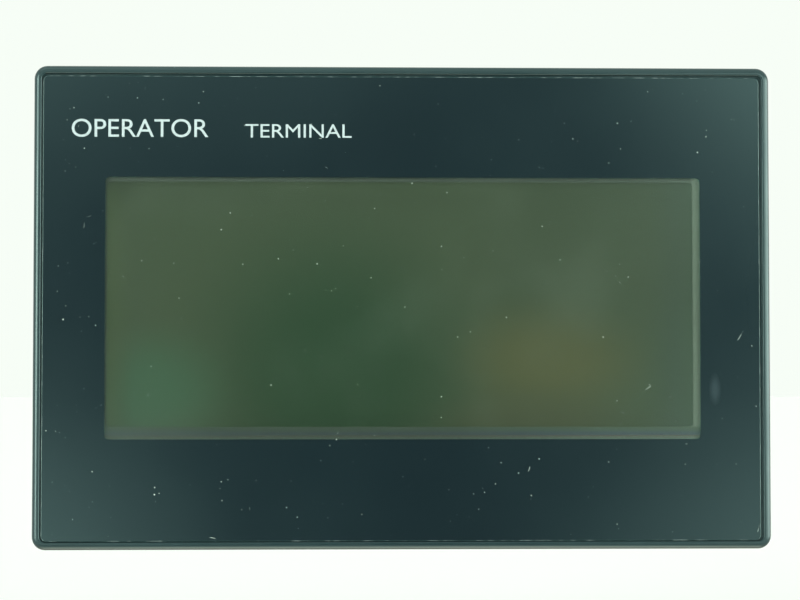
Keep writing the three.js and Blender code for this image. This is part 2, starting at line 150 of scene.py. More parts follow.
# ---- Front frame ------------------------------------------------------------------------------------
# One injection moulding in dark green-grey plastic. A thin glossy rim with a rounded outer edge
# holds the printed sheet in a shallow pocket; behind it are the window ledge, seal groove and spigot.

def colour(code):
    """Linear colour of a six-digit sRGB code."""
    values = np.array([int(code[i:i + 2], 16) for i in (0, 2, 4)]) / 255
    return (*np.where(values < 0.04045, values / 12.92, ((values + 0.055) / 1.055) ** 2.4), 1.0)


def skin(name, grid, closed=False):
    """A mesh over a grid of points that closes round its second axis: quads between neighbouring rows,
    the last row joined to the first if closed, and otherwise the first and last rows filled in flat."""
    rows, around = grid.shape[:2]
    index = np.arange(rows * around).reshape(rows, around)
    lower = index if closed else index[:-1]
    upper = np.roll(index, -1, 0) if closed else index[1:]
    quads = np.stack([lower, np.roll(lower, -1, 1), np.roll(upper, -1, 1), upper], -1).reshape(-1, 4)
    faces = quads.tolist() + ([] if closed else [index[0][::-1].tolist(), index[-1].tolist()])
    mesh = bpy.data.meshes.new(name)
    mesh.from_pydata(grid.reshape(-1, 3), [], faces)
    return smooth(mesh)


def smooth(mesh, angle=32):
    """Turns every face outwards and shades the mesh smooth, apart from edges sharper than angle."""
    work = bmesh.new()
    work.from_mesh(mesh)
    bmesh.ops.recalc_face_normals(work, faces=work.faces)
    work.to_mesh(mesh)
    work.free()
    mesh.shade_smooth()
    mesh.set_sharp_from_angle(angle=math.radians(angle))
    return mesh


def round_corners(rows, reaches, steps=6):
    """Each row of a profile becomes a short curve: from a point reach back along the last leg to a point
    reach along the next, as the parabola that both legs touch. A reach of 0 keeps the corner."""
    rows = np.asarray(rows, float)
    before, after = np.roll(rows, 1, 0) - rows, np.roll(rows, -1, 0) - rows
    span = np.asarray(reaches, float)[:, None]
    start = rows + before * np.minimum(span / np.linalg.norm(before, axis=1, keepdims=True), 0.5)
    end = rows + after * np.minimum(span / np.linalg.norm(after, axis=1, keepdims=True), 0.5)
    t = np.linspace(0, 1, steps)[None, :, None]
    curve = (1 - t) ** 2 * start[:, None] + 2 * t * (1 - t) * rows[:, None] + t ** 2 * end[:, None]
    kept = np.array([np.arange(steps) < (steps if reach else 1) for reach in reaches])
    return curve[kept]


def rounded_rectangles(rows, per_corner=9):
    """Grid of points round flat rounded rectangles, one for each row of half width, half height, corner
    radius and depth in millimetres: the corner's centre plus the radius times cosine and sine."""
    wide, high, radius, depth = np.asarray(rows, float).T[..., None]
    angle = (np.linspace(0, math.pi / 2, per_corner) + np.arange(4)[:, None] * math.pi / 2).ravel()
    side_x = np.repeat([1, -1, -1, 1], per_corner)
    side_z = np.repeat([1, 1, -1, -1], per_corner)
    x = side_x * (wide - radius) + radius * np.cos(angle)
    z = side_z * (high - radius) + radius * np.sin(angle)
    return np.stack([x, np.broadcast_to(depth, x.shape), z], -1) / 1000


def place(name, mesh, body, slot, *finishes, stands_for=()):
    """Puts a mesh on a body, with its materials, as a piece of its own."""
    piece = bpy.data.objects.new(name, mesh)
    scene.collection.objects.link(piece)
    mesh.materials.clear()
    for finish in finishes:
        mesh.materials.append(finish)
    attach(piece, body)
    if stands_for:
        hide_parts(*stands_for)
    return piece


def new_finish(name, roughness, **settings):
    """A material, its node tree, its surface shader, and the piece's own coordinates."""
    material = bpy.data.materials.new(name)
    material.use_nodes = True
    nodes = material.node_tree
    shader = nodes.nodes["Principled BSDF"]
    shader.inputs["Roughness"].default_value = roughness
    for socket, value in settings.items():
        shader.inputs[socket.replace("_", " ")].default_value = value
    return material, nodes, shader, wire(nodes, "ShaderNodeTexCoord").outputs["Object"]


def noise(tree, where, size_mm, detail=3.0, sharp=0.55):
    """Cloudy value from 0 to 1 whose features are about size_mm wide."""
    inputs = {"Vector": where, "Scale": 1000 / size_mm, "Detail": detail, "Roughness": sharp}
    return wire(tree, "ShaderNodeTexNoise", inputs).outputs["Fac"]


def blend_colours(tree, share, first, second):
    """first where share is 0 and second where it is 1."""
    inputs = {0: share, 6: first, 7: second}
    return wire(tree, "ShaderNodeMix", inputs, data_type="RGBA").outputs[2]


def mapped(tree, where, **settings):
    """Coordinates moved, turned or scaled as the settings say."""
    return wire(tree, "ShaderNodeMapping", {"Vector": where, **settings}).outputs[0]


def emboss(tree, shader, height, depth_mm, strength=1.0):
    """Bump of the given depth from a height between 0 and 1."""
    inputs = {"Height": height, "Distance": depth_mm / 1000, "Strength": strength}
    tree.links.new(wire(tree, "ShaderNodeBump", inputs).outputs[0], shader.inputs["Normal"])


def specks(tree, where, spacing_mm, least, most, fade=0.0):
    """Scattered marks on the XZ plane: in each cell of a random 2D pattern the mark is where the distance
    to the cell's point is under a radius, in cells, drawn between least and most; none if that is below 0.
    Each mark is weakened by a random share of fade."""
    flat = mapped(tree, where, Rotation=(math.pi / 2, 0, 0))
    inputs = {"Vector": flat, "Scale": 1000 / spacing_mm}
    cells = wire(tree, "ShaderNodeTexVoronoi", inputs, voronoi_dimensions="2D")
    random = wire(tree, "ShaderNodeSeparateColor", {0: cells.outputs["Color"]}).outputs
    radius = calculate(tree, "MULTIPLY_ADD", random[1], most - least, least)
    inside = calculate(tree, "SUBTRACT", radius, cells.outputs["Distance"])
    crispness = 70.0
    mark = calculate(tree, "MULTIPLY", inside, crispness, clamp=True)
    return calculate(tree, "MULTIPLY", mark, calculate(tree, "MULTIPLY_ADD", random[0], -fade, 1.0))


bend = np.linspace(0, math.pi / 2, 11)
rim_edge = np.stack([55.6 + 0.9 * np.cos(bend), 36.1 + 0.9 * np.cos(bend), 1.1 + 0.9 * np.cos(bend),
                     -4.2 - 0.8 * np.sin(bend)], -1)    # the rim's outer front edge, a quarter ellipse
frame_profile = [
    *rim_edge,
    (55.3, 35.8, 0.95, -5.0),    # rim, inner front edge
    (55.3, 35.8, 0.95, -4.5),    # pocket for the printed sheet
    (49.2, 23.7, 0.5, -4.5),
    (49.2, 23.7, 0.5, -3.1),     # pocket for the touch sensor
    (46.3, 20.8, 0.5, -3.1),
    (46.3, 20.8, 0.5, -2.1),     # window
    (48.3, 28.8, 1.0, -2.1),
    (48.3, 28.8, 1.0, 4.0),      # inside and outside of the spigot
    (49.7, 30.2, 1.6, 4.0),
    (49.7, 30.2, 1.6, -0.3),
    (52.8, 33.3, 1.6, -0.3),     # groove for the sealing ring
    (52.8, 33.3, 1.6, -1.9),
    (55.2, 35.7, 2.0, -1.9),
    (55.2, 35.7, 2.0, -0.3),
    (56.5, 37.0, 2.0, -0.3),     # rim, rear edge
]
frame_reach = [0] * 11 + [0.28, 0.1, 0, 0.1, 0, 0.15, 0, 0.3, 0.3, 0, 0.1, 0, 0, 0.1, 0.35]

rim_plastic, nodes, shader, where = new_finish("dark_moulded_plastic", 0.24, IOR=1.6)
shader.inputs["Specular Tint"].default_value = (0.75, 1.0, 0.97, 1)
scuffs = specks(nodes, where, 1.6, -0.2, 0.05, fade=0.8)
base = blend_colours(nodes, noise(nodes, where, 12, 2), colour("1a2d2f"), colour("22373a"))
base = blend_colours(nodes, calculate(nodes, "MULTIPLY", scuffs, 0.5), base, colour("8fa8a4"))
nodes.links.new(base, shader.inputs["Base Color"])
gloss = ramp_between(nodes, noise(nodes, where, 7, 3), 0.3, 0.7, 0.18, 0.27)
nodes.links.new(gloss, shader.inputs["Roughness"])
emboss(nodes, shader, noise(nodes, where, 1.8, 3), 0.012)

frame_rows = round_corners(frame_profile, frame_reach)
place("front_rim", skin("front_rim", rounded_rectangles(frame_rows), closed=True), "panel", "frame_plastic",
      rim_plastic, stands_for=["front_frame"])


def tube(radii, axial, centre, sides=32):
    """Surface of revolution about an axis along Y through centre (x, z): each row is a circle of its
    radius at its depth, all in millimetres."""
    turn_by = np.linspace(0, 2 * math.pi, sides, endpoint=False)
    radii, axial = np.asarray(radii, float)[:, None], np.asarray(axial, float)[:, None]
    x = centre[0] + radii * np.cos(turn_by)
    z = centre[1] + radii * np.sin(turn_by)
    return np.stack([x, np.broadcast_to(axial, x.shape), z], -1) / 1000


screw_places = [(-46.5, 27), (46.5, 27), (-46.5, -27), (46.5, -27)]
for i, at in enumerate(screw_places):
    post = tube([2.6, 2.6, 2.45, 1.6, 1.5, 1.5], [-2.1, 6.8, 6.95, 6.95, 6.8, -0.6], at, 24)
    place(f"frame_post_{i + 1}", skin("frame_post", post), "panel", "frame_plastic", rim_plastic)


# ---- Printed sheet ----------------------------------------------------------------------------------
# A clear polyester sheet glued into the frame's pocket. Dark blue-green ink on its back leaves a clear
# window; its raw cut edge is pale, with a painted highlight that is stronger at the left and right, and
# pale spots along it that are partly chips and partly painted glints. Dust and a few fibres lie on it,
# and a thumb smear at the right.

ink_film, nodes, shader, where = new_finish("printed_ink_under_film", 0.16, IOR=1.58)
shader.inputs["Specular Tint"].default_value = (0.62, 1.0, 0.95, 1)
cloud = noise(nodes, where, 38, 2)
base = blend_colours(nodes, cloud, colour("121e24"), colour("16252a"))
smear_at = mapped(nodes, where, Location=(-0.0479, 0, 0.0126))
smear_at = mapped(nodes, smear_at, Scale=(1150, 0, 430))
smear_far = wire(nodes, "ShaderNodeVectorMath", {0: smear_at}, operation="LENGTH").outputs["Value"]
smear = ramp_between(nodes, smear_far, 0.2, 1.2, 0.2, 0.0)
base = blend_colours(nodes, smear, base, colour("5a6a70"))
nodes.links.new(base, shader.inputs["Base Color"])
gloss = ramp_between(nodes, noise(nodes, where, 22, 3), 0.3, 0.7, 0.15, 0.18)
nodes.links.new(gloss, shader.inputs["Roughness"])

cut_film, nodes, shader, where = new_finish("cut_film_edge", 0.35)
# pale spots along the cut edge: partly chips, partly painted glints
chips_and_glints = ramp_between(nodes, noise(nodes, where, 1.3, 4), 0.48, 0.7)
across = calculate(nodes, "ABSOLUTE", wire(nodes, "ShaderNodeSeparateXYZ", {0: where}).outputs[0])
# painted highlight: the cut edge is paler at its left and right sides, where the side windows light it
side_highlight = ramp_between(nodes, across, 0.0544, 0.0548)
base = blend_colours(nodes, side_highlight, colour("3c5655"), colour("8fa9a6"))
base = blend_colours(nodes, calculate(nodes, "MULTIPLY", chips_and_glints, 0.7), base, colour("cfe2de"))
nodes.links.new(base, shader.inputs["Base Color"])


def clear_finish(name, tint, mirror, roughness, haze):
    """Clear sheet that lets light straight through and mirrors more at a slant. Haze is the largest share
    of the light that its faint cloudy film of grease scatters."""
    material = bpy.data.materials.new(name)
    material.use_nodes = True
    tree = material.node_tree
    tree.nodes.remove(tree.nodes["Principled BSDF"])
    open_light = wire(tree, "ShaderNodeBsdfTransparent", {"Color": tint})
    gloss = wire(tree, "ShaderNodeBsdfAnisotropic", {"Color": mirror, "Roughness": roughness})
    share = wire(tree, "ShaderNodeFresnel", {"IOR": 1.5})
    inputs = {0: share.outputs[0], 1: open_light.outputs[0], 2: gloss.outputs[0]}
    mixed = wire(tree, "ShaderNodeMixShader", inputs)
    where = wire(tree, "ShaderNodeTexCoord").outputs["Object"]
    grease = wire(tree, "ShaderNodeBsdfDiffuse", {"Color": colour("a9b8a8")})
    share = ramp_between(tree, noise(tree, where, 18, 4), 0.45, 0.8, 0.0, haze)
    mixed = wire(tree, "ShaderNodeMixShader", {0: share, 1: mixed.outputs[0], 2: grease.outputs[0]})
    tree.links.new(mixed.outputs[0], tree.nodes["Material Output"].inputs["Surface"])
    return material


window_film = clear_finish("clear_window_film", (0.95, 0.975, 0.95, 1), (0.7, 1.0, 0.9, 1), 0.16, 0.008)
sheet_rows = [(45.6, 20.05, 0.7, -4.55), (55.15, 35.65, 0.8, -4.55), (55.15, 35.65, 0.8, -4.79),
              (55.07, 35.57, 0.7, -4.9), (45.6, 20.05, 0.7, -4.9)]
sheet_grid = rounded_rectangles(sheet_rows, 7)
sheet_grid[1:4, :, 2] -= np.where(sheet_grid[1:4, :, 2] > 0, 0.00022, 0)    # it is cut a little small
sheet_grid[1:4, :, 0] -= np.where(sheet_grid[1:4, :, 0] > 0, 0.00028, -0.0001)
window_shift = np.array([0.00005, 0, -0.00014])    # and its window is printed off the middle
sheet_grid[[0, 4]] += window_shift
sheet_mesh = skin("face_sheet", sheet_grid, closed=True)
place("face_sheet", sheet_mesh, "panel", "printed_film", ink_film, cut_film, stands_for=["printed_sheet"])
sheet_mesh.polygons.foreach_set("material_index", np.repeat([0, 1, 1, 0, 0], 4 * 7).astype(np.int32))


def clear_pane(name, rows, slot, finish, shift=0.0, **stands):
    """A flat clear piece over rounded rectangles, which throws no shadow on what is behind it."""
    pane = place(name, skin(name, rounded_rectangles(rows, 7) + shift), "panel", slot, finish, **stands)
    pane.visible_shadow = pane.visible_diffuse = False


window_rows = [(45.59, 20.04, 0.7, -4.56), (45.59, 20.04, 0.7, -4.9)]
clear_pane("face_window", window_rows, "printed_film", window_film, window_shift)

white_ink, nodes, shader, where = new_finish("white_screen_print", 0.4)
base = blend_colours(nodes, noise(nodes, where, 0.5, 3), colour("a4b4b5"), colour("c6d5d8"))
nodes.links.new(base, shader.inputs["Base Color"])


font_cap_height = 0.729    # of the default font, at size 1


def lettering(name, text, cap_height, left, baseline, depth, body, slot, finish, rear=False, bold=0.0,
              wide=1.0):
    """Flat print: the outline of the words scaled so that a capital is cap_height tall, laid in the XZ
    plane with its lower left at (left, baseline) and its face at depth; read from behind if rear."""
    curve = bpy.data.curves.new(name, "FONT")
    curve.body, curve.size, curve.offset = text, 1.0, bold
    writing = bpy.data.objects.new(name, curve)
    scene.collection.objects.link(writing)
    bpy.context.view_layer.update()
    mesh = bpy.data.meshes.new_from_object(writing.evaluated_get(bpy.context.evaluated_depsgraph_get()))
    bpy.data.objects.remove(writing)
    flat = np.zeros(len(mesh.vertices) * 3, np.float32)
    mesh.vertices.foreach_get("co", flat)
    flat = flat.reshape(-1, 3)
    scale = cap_height / font_cap_height
    x = (flat[:, 0] - flat[:, 0].min()) * scale * wide * (-1 if rear else 1) + left
    z = flat[:, 1] * scale + baseline
    flat = np.stack([x, np.full(len(x), depth), z], -1) / 1000
    mesh.vertices.foreach_set("co", flat.ravel().astype(np.float32))
    mesh.update()
    return place(name, mesh, body, slot, finish)


dust_depth = -4.908
print_depth = -4.904


def scattered_marks(name, count, seed, sizes, shapes, body, slot, finish):
    """Flat marks on the face at random places: a six-sided outline cos(a), sin(a) for each, stretched to a
    random size and shape, turned by a random angle, and bent a little if it is long. Millimetres."""
    chance = np.random.default_rng(seed)
    x, z = chance.uniform(-54.6, 54.6, count), chance.uniform(-35.2, 35.0, count)
    long = sizes[0] + (sizes[1] - sizes[0]) * chance.uniform(0, 1, count) ** 3
    thin = long * chance.uniform(*shapes, count)
    turned = chance.uniform(0, math.pi, count)[:, None]
    angle = np.arange(6) * math.pi / 3
    u, v = long[:, None] * np.cos(angle), thin[:, None] * np.sin(angle)
    v = v + np.where(long > 0.3, 0.25, 0.0)[:, None] * u ** 2
    flat = np.stack([x[:, None] + u * np.cos(turned) - v * np.sin(turned), np.full(u.shape, dust_depth),
                     z[:, None] + u * np.sin(turned) + v * np.cos(turned)], -1)
    mesh = bpy.data.meshes.new(name)
    mesh.from_pydata(flat.reshape(-1, 3) / 1000, [], np.arange(6 * count).reshape(count, 6).tolist())
    piece = place(name, smooth(mesh), body, slot, finish)
    piece.visible_shadow = False


grit, nodes, shader, where = new_finish("pale_dust", 0.9)
base = blend_colours(nodes, ramp_between(nodes, noise(nodes, where, 2.5, 3), 0.35, 0.68), colour("3f4f4a"),
                     colour("c0cdc4"))
nodes.links.new(base, shader.inputs["Base Color"])
scattered_marks("dust_grains", 430, 11, (0.036, 0.15), (0.5, 1.0), "panel", "printed_film", grit)
scattered_marks("dust_fibres", 20, 5, (0.22, 0.8), (0.05, 0.09), "panel", "printed_film", grit)

lettering("face_word_1", "OPERATOR", 2.9, -50.7, 26.05, print_depth, "panel", "printed_film", white_ink,
          wide=1.03)
lettering("face_word_2", "TERMINAL", 2.2, -24.2, 26.0, print_depth, "panel", "printed_film", white_ink,
          wide=1.16)


# ---- Touch sensor -----------------------------------------------------------------------------------
# A resistive sensor: flexible clear film, a glued spacer ring that shows as thin bands inside the window,
# paler at the right and with painted shade along its left edge, and a pane of coated glass. An amber tail
# carries it to the board.

def repaint(finish, *names):
    """Gives CAD nodes a finish."""
    for name in names:
        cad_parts[name].data.materials.clear()
        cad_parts[name].data.materials.append(finish)


coated_film = clear_finish("coated_touch_film", (0.97, 0.985, 0.97, 1), (0.25, 0.3, 0.25, 1), 0.3, 0.01)
clear_pane("sensor_film", [(49, 23.4, 0.5, -4.5), (49, 23.4, 0.5, -4.35)], "clear_film", coated_film,
           stands_for=["touch_film"])
coated_glass = clear_finish("coated_touch_glass", (0.96, 0.985, 0.965, 1), (0.2, 0.25, 0.2, 1), 0.2, 0.005)
clear_pane("sensor_glass", [(48.9, 23.3, 0.4, -4.15), (49, 23.4, 0.5, -4.05), (49, 23.4, 0.5, -3.25),
                            (48.9, 23.3, 0.4, -3.15)], "glass", coated_glass, stands_for=["touch_glass"])

ring_glue, nodes, shader, where = new_finish("spacer_ring", 0.45)
axes = wire(nodes, "ShaderNodeSeparateXYZ", {0: where}).outputs
low = wire(nodes, "ShaderNodeValToRGB", {0: calculate(nodes, "MULTIPLY_ADD", axes[2], -500.0, -9.0)})
low.color_ramp.elements[0].position, low.color_ramp.elements[0].color = 0.15, colour("3e4d3d")
low.color_ramp.elements[1].position, low.color_ramp.elements[1].color = 0.96, colour("515f57")
for spot, code in [(0.34, "394b40"), (0.5, "354643"), (0.64, "273b50"), (0.74, "2e3e52"), (0.86, "54463b")]:
    low.color_ramp.elements.new(spot).color = colour(code)
at_left = ramp_between(nodes, axes[0], 0.0, 0.035, 0.5, 0.0)
low = blend_colours(nodes, at_left, low.outputs[0], colour("1c2b25"))
side = ramp_between(nodes, axes[0], 0.0440, 0.0449)
elsewhere = blend_colours(nodes, side, colour("38433d"), colour("606e62"))
# painted shade: a dark strip along the left edge of the ring's opening
left_edge_shade = ramp_between(nodes, axes[0], -0.0449, -0.0453)
elsewhere = blend_colours(nodes, left_edge_shade, elsewhere, colour("1f2a24"))
is_low = ramp_between(nodes, axes[2], -0.0182, -0.0184)
base = blend_colours(nodes, is_low, elsewhere, low)
mottle = calculate(nodes, "MULTIPLY", noise(nodes, where, 2.5, 3), 0.2)
base = blend_colours(nodes, mottle, base, colour("2f3b33"))
nodes.links.new(base, shader.inputs["Base Color"])
ring = rounded_rectangles([(44.95, 18.775, 0.6, -4.3), (49, 23.4, 0.5, -4.3), (49, 23.4, 0.5, -4.2),
                           (44.95, 18.775, 0.6, -4.2)], 7)
ring[[0, 3]] += (-0.00035, 0, 0.000475)    # the opening lies off the middle
spacer = place("sensor_spacer", skin("sensor_spacer", ring, closed=True), "panel", "clear_film", ring_glue,
               stands_for=["touch_spacer"])
spacer.visible_shadow = spacer.visible_diffuse = False

amber_film, nodes, shader, where = new_finish("amber_flexible_circuit", 0.35, Coat_Weight=0.4)
waves = {"Vector": where, "Scale": 160.0, "Distortion": 0.0}
tracks = wire(nodes, "ShaderNodeTexWave", waves, bands_direction="X").outputs["Fac"]
base = blend_colours(nodes, ramp_between(nodes, tracks, 0.45, 0.6), colour("8a4f1c"), colour("c98a3c"))
nodes.links.new(base, shader.inputs["Base Color"])
repaint(amber_film, "touch_tail", "display_flex")


# ---- Display ----------------------------------------------------------------------------------------
# An unlit liquid crystal cell, grey-green with faint green and brown cloudy patches and with painted light
# that makes it paler along its left, right and top edges, in a pressed steel frame, with a light guide, a
# bar of small lamps and its driver board behind it.

cell_glass, nodes, shader, where = new_finish("unlit_display", 0.3, IOR=1.45)


def patch(tree, where, x, z, across, up):
    """1 round a point of the face, falling smoothly to 0 at an ellipse of half axes across and up (mm)."""
    moved = mapped(tree, where, Location=(-x / 1000, 0, -z / 1000))
    scaled = mapped(tree, moved, Scale=(1000 / across, 0, 1000 / up))
    far = wire(tree, "ShaderNodeVectorMath", {0: scaled}, operation="LENGTH").outputs["Value"]
    return ramp_between(tree, far, 0.2, 1.0, 1.0, 0.0)


base = blend_colours(nodes, noise(nodes, where, 30, 2), colour("404c3a"), colour("44503d"))
cloud_and_edge_light_patches = [    # middle x and z, half axes across and up, colour, and its largest share
    (-10.5, -10, 28, 30, "26422d", 0.92),
    (-39, -13, 15, 12, "3e5c48", 0.85),
    (23, -8, 18, 12, "555539", 0.95),
    (21, -18, 20, 8, "4c4f3b", 0.75),
    # painted light: the next four rows pale the cell's right, left and top edges against the frame's shade
    (48, 0, 12, 60, "41524a", 0.9),
    (46, 0, 4.5, 60, "566756", 0.7),
    (-47, 0, 6, 60, "5c6b4c", 0.7),
    (0, 22, 90, 5.5, "56644d", 0.7),
    (30, 8, 26, 18, "3d4838", 0.6),
]
for x, z, across, up, code, share in cloud_and_edge_light_patches:
    amount = calculate(nodes, "MULTIPLY", patch(nodes, where, x, z, across, up), share)
    base = blend_colours(nodes, amount, base, colour(code))
nodes.links.new(base, shader.inputs["Base Color"])
repaint(cell_glass, "display_cell")

pressed_steel, nodes, shader, where = new_finish("pressed_steel", 0.34, Metallic=1.0)
base = blend_colours(nodes, noise(nodes, where, 3, 4), colour("8e9294"), colour("b9bdbe"))
nodes.links.new(base, shader.inputs["Base Color"])
emboss(nodes, shader, noise(nodes, mapped(nodes, where, Scale=(1, 12, 12)), 2, 3), 0.006)
repaint(pressed_steel, "display_frame")

guide_acrylic, nodes, shader, where = new_finish("white_light_guide", 0.25)
base = blend_colours(nodes, specks(nodes, where, 1.2, 0.1, 0.3), colour("dfe4e0"), colour("f6f8f5"))
nodes.links.new(base, shader.inputs["Base Color"])
repaint(guide_acrylic, "light_guide")


# ---- Main board -------------------------------------------------------------------------------------
# Glass-epoxy board with green solder mask over copper tracks, tinned pads, a square processor with
# leads on four sides, a sounder, a potted inductor and two can capacitors.

board_mask, nodes, shader, where = new_finish("green_circuit_board", 0.32, Coat_Weight=0.5)
flat = mapped(nodes, where, Rotation=(math.pi / 2, 0, 0))
cells = wire(nodes, "ShaderNodeTexVoronoi", {"Vector": flat, "Scale": 120.0}, voronoi_dimensions="2D",
             distance="CHEBYCHEV")
rings = calculate(nodes, "FRACT", calculate(nodes, "MULTIPLY", cells.outputs["Distance"], 9.0))
from_ring = calculate(nodes, "ABSOLUTE", calculate(nodes, "SUBTRACT", rings, 0.5))
track = ramp_between(nodes, from_ring, 0.12, 0.2)
pads = specks(nodes, where, 2.3, -0.1, 0.16)
base = blend_colours(nodes, track, colour("2c7a4c"), colour("17503a"))
base = blend_colours(nodes, pads, base, colour("c2c4bd"))
nodes.links.new(base, shader.inputs["Base Color"])
nodes.links.new(calculate(nodes, "MULTIPLY", pads, 0.8), shader.inputs["Metallic"])
emboss(nodes, shader, track, 0.02)
repaint(board_mask, "main_board", "display_board")

epoxy, nodes, shader, where = new_finish("black_moulded_epoxy", 0.5)
base = blend_colours(nodes, noise(nodes, where, 1.5, 4), colour("131416"), colour("222427"))
nodes.links.new(base, shader.inputs["Base Color"])
emboss(nodes, shader, noise(nodes, where, 0.2, 3), 0.01)
repaint(epoxy, "processor_chip", "sounder", "supply_inductor", "selector_body")

can_metal, nodes, shader, where = new_finish("capacitor_can", 0.28, Metallic=1.0)
tall = wire(nodes, "ShaderNodeSeparateXYZ", {0: where}).outputs[1]
base = blend_colours(nodes, ramp_between(nodes, tall, 0.0156, 0.0158), colour("a9adb0"), colour("d3d6d6"))
nodes.links.new(base, shader.inputs["Base Color"])
emboss(nodes, shader, noise(nodes, where, 0.8, 3), 0.004)
repaint(can_metal, "supply_capacitor_1", "supply_capacitor_2")

white_nylon, nodes, shader, where = new_finish("white_moulded_nylon", 0.42)
base = blend_colours(nodes, noise(nodes, where, 2, 4), colour("d8d6cc"), colour("eceae2"))
nodes.links.new(base, shader.inputs["Base Color"])
emboss(nodes, shader, noise(nodes, where, 0.3, 2), 0.006)
repaint(white_nylon, "lamp_bar", "option_connector", "selector_slider")


def small_blocks(name, centres, sizes, body, slot, finish):
    """Many small blocks in one mesh: every centre plus half of its size times the eight corner signs."""
    signs = np.array([(x, y, z) for x in (-1, 1) for y in (-1, 1) for z in (-1, 1)])
    centres, sizes = np.atleast_2d(centres), np.atleast_2d(sizes)
    corners = (centres[:, None] + signs[None] * sizes[:, None] / 2).reshape(-1, 3) / 1000
    sides = np.array([(0, 1, 3, 2), (4, 6, 7, 5), (0, 4, 5, 1), (2, 3, 7, 6), (0, 2, 6, 4), (1, 5, 7, 3)])
    faces = (sides[None] + 8 * np.arange(len(centres))[:, None, None]).reshape(-1, 4)
    mesh = bpy.data.meshes.new(name)
    mesh.from_pydata(corners, [], faces.tolist())
    piece = place(name, smooth(mesh), body, slot, finish)
    edge = piece.modifiers.new("worn_edges", "BEVEL")
    edge.width, edge.segments, edge.limit_method = sizes.min() / 6000, 1, "ANGLE"
    return piece


tinned, nodes, shader, where = new_finish("tinned_copper", 0.3, Metallic=1.0)
base = blend_colours(nodes, noise(nodes, where, 0.7, 4), colour("a8aaa6"), colour("d2d3ce"))
nodes.links.new(base, shader.inputs["Base Color"])
emboss(nodes, shader, noise(nodes, where, 0.4, 3), 0.006)

run = np.arange(-6.2, 6.3, 0.8)
edge = np.full_like(run, 7.55)
low_y = np.full_like(run, 8.85)
leads = np.concatenate([np.stack([12 + s * edge, low_y, 12 + run], -1) for s in (-1, 1)])
small_blocks("processor_leads_sides", leads, (1.0, 0.3, 0.34), "panel", "tin", tinned)
leads = np.concatenate([np.stack([12 + run, low_y, 12 + s * edge], -1) for s in (-1, 1)])
small_blocks("processor_leads_ends", leads, (0.34, 0.3, 1.0), "panel", "tin", tinned)


# ---- Sealing ring -----------------------------------------------------------------------------------
# Closed-cell foam rubber, cut as a flat ring with soft edges and pressed into the frame's groove. It
# stands slightly proud, so that the door squeezes it.

foam, nodes, shader, where = new_finish("black_foam_rubber", 0.88)
pore_cells_and_shade = wire(nodes, "ShaderNodeTexVoronoi", {"Vector": where, "Scale": 3200.0}).outputs["Distance"]
# painted shade: darker in the hollows of the foam's cells, where the bump sinks
base = blend_colours(nodes, pore_cells_and_shade, colour("0b0c0c"), colour("242626"))
nodes.links.new(base, shader.inputs["Base Color"])
emboss(nodes, shader, pore_cells_and_shade, 0.06)
seal_profile = [(53, 33.5, 1.4, -1.85), (53, 33.5, 1.4, 0), (55, 35.5, 1.8, 0), (55, 35.5, 1.8, -1.85)]
seal_rows = round_corners(seal_profile, [0.1, 0.45, 0.45, 0.1], 4)
seal_mesh = skin("foam_seal", rounded_rectangles(seal_rows, 6), closed=True)
place("foam_seal", seal_mesh, "panel", "seal_rubber", foam, stands_for=["sealing_ring"])


# ---- Rear case --------------------------------------------------------------------------------------
# Deep tray moulded in near-black plastic with a fine spark-eroded texture. Four screws through its tubes
# hold it to the frame's posts. Air slots, clamp slots, two bays and a selector well are cut in it.

same_point = 2e-6                    # corners closer than this are one, in metres
flat_bend = math.radians(0.6)        # faces that meet at less than this are joined up
sharp_bend = math.radians(35)        # faces that meet at more than this have an edge between them


def has_room(edge, width):
    """True if a rounding of width fits: the edge isn't part of a tiny hole, and at its ends no other edge
    doubles back close beside it, or leaves it sideways and is short."""
    if edge.calc_length() < 0.9 * width:
        return False
    for end in edge.verts:
        along = (edge.other_vert(end).co - end.co).normalized()
        for other in end.link_edges:
            reach = other.other_vert(end).co - end.co
            lean = reach.normalized() @ along
            beside = 0.995 if other.calc_face_angle(0) < 0.09 else 0.8
            if other is not edge and (lean > beside or (lean > -0.8 and reach.length < 1.6 * width)):
                return False
    return True


def remake(node, name, body, slot, finish, width_mm, rear_only=False):
    """A copy of a CAD node that stands for it, with shared corners merged, flat faces joined up, and a real
    rounding on every sharp outer edge that has room for one, or only on those of its rear face."""
    width = width_mm / 1000
    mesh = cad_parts[node].data.copy()
    work = bmesh.new()
    work.from_mesh(mesh)
    bmesh.ops.remove_doubles(work, verts=work.verts, dist=same_point)
    bmesh.ops.dissolve_limit(work, angle_limit=flat_bend, verts=work.verts, edges=work.edges)
    if not rear_only:
        bmesh.ops.triangulate(work, faces=work.faces)
    from_depth = max(corner.co.y for corner in work.verts) - 0.0001 if rear_only else -1
    weight = work.edges.layers.float.new("bevel_weight_edge")
    for edge in work.edges:
        sharp = edge.calc_face_angle(0) > sharp_bend
        outer = edge.calc_face_angle_signed(0) > 0
        deep = min(end.co.y for end in edge.verts) > from_depth
        edge[weight] = float(sharp and outer and deep and has_room(edge, width))
        edge.smooth = not sharp or edge[weight] > 0
    work.to_mesh(mesh)
    work.free()
    mesh.polygons.foreach_set("use_smooth", np.ones(len(mesh.polygons), bool))
    piece = place(name, mesh, body, slot, finish, stands_for=[node])
    edge = piece.modifiers.new("rounded_edges", "BEVEL")
    edge.width, edge.segments, edge.limit_method, edge.use_clamp_overlap = width, 2, "WEIGHT", False
    piece.modifiers.new("flat_faces", "WEIGHTED_NORMAL").keep_sharp = True
    return piece


